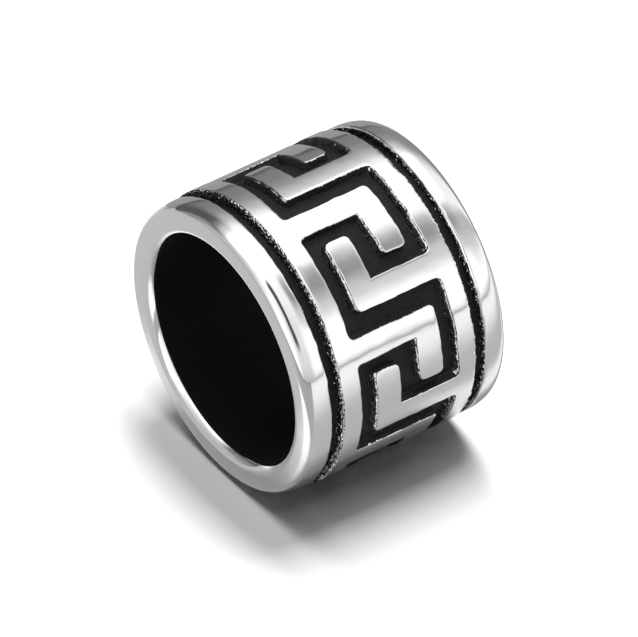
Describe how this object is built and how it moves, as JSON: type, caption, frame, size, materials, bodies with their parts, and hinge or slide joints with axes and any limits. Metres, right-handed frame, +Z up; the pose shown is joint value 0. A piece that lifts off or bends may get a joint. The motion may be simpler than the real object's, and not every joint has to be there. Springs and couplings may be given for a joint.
{
  "type": "dreadlock bead",
  "caption": "Short open steel tube bead with two rounded rims, two grooves and a Greek key band, worn round a lock of hair.",
  "frame": {"origin": "on the surface that the bead lies on, under the middle of the bead", "axes": "+X along the hole, from the mouth that the picture shows to the far mouth; +Z up; the viewer is at -Y"},
  "size_m": [0.0082, 0.0106, 0.0106],
  "materials": {
    "steel": "mirror-polished cast stainless steel on the rims and the raised key, black in the sunken channel, the grooves and the hole"
  },
  "bodies": {
    "root": {"bead": "steel"}
  },
  "joints": []
}
